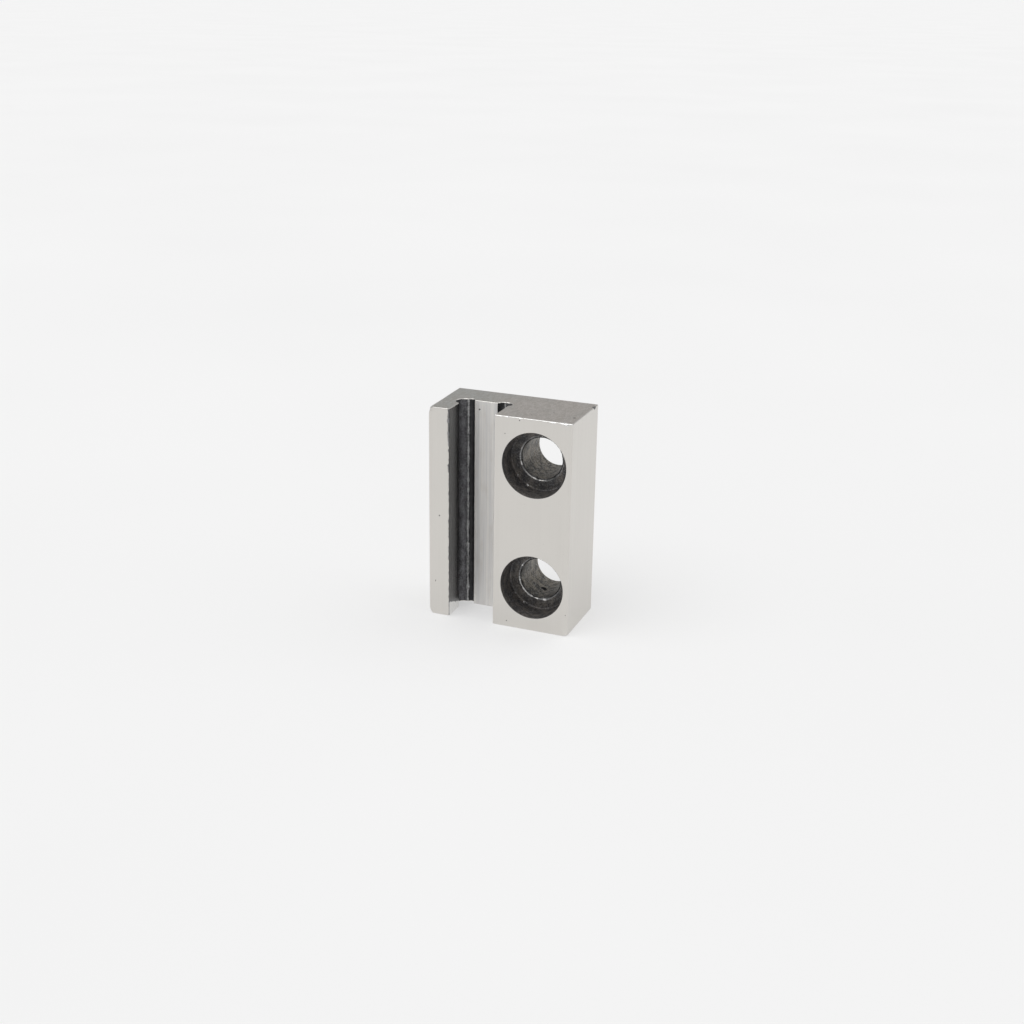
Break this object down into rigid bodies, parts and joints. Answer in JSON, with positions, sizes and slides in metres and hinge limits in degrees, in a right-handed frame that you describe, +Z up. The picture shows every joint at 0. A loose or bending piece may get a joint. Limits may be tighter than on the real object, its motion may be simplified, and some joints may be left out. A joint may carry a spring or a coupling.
{
  "type": "slotted guide block",
  "caption": "Upright rectangular steel block with a relieved guide slot along its height between a lip and a boss, and counterbored bolt holes through the boss",
  "frame": {"origin": "centre of the block's outline on the bottom end", "axes": "+X from the lip to the boss, +Y from the slotted front face to the back face, +Z up along the slot"},
  "size_m": [0.0454, 0.023, 0.067],
  "materials": {
    "ground_steel": "surface ground, black oxide left in the relief grooves and the holes"
  },
  "bodies": {
    "root": {"guide_block": "ground_steel"}
  },
  "joints": []
}
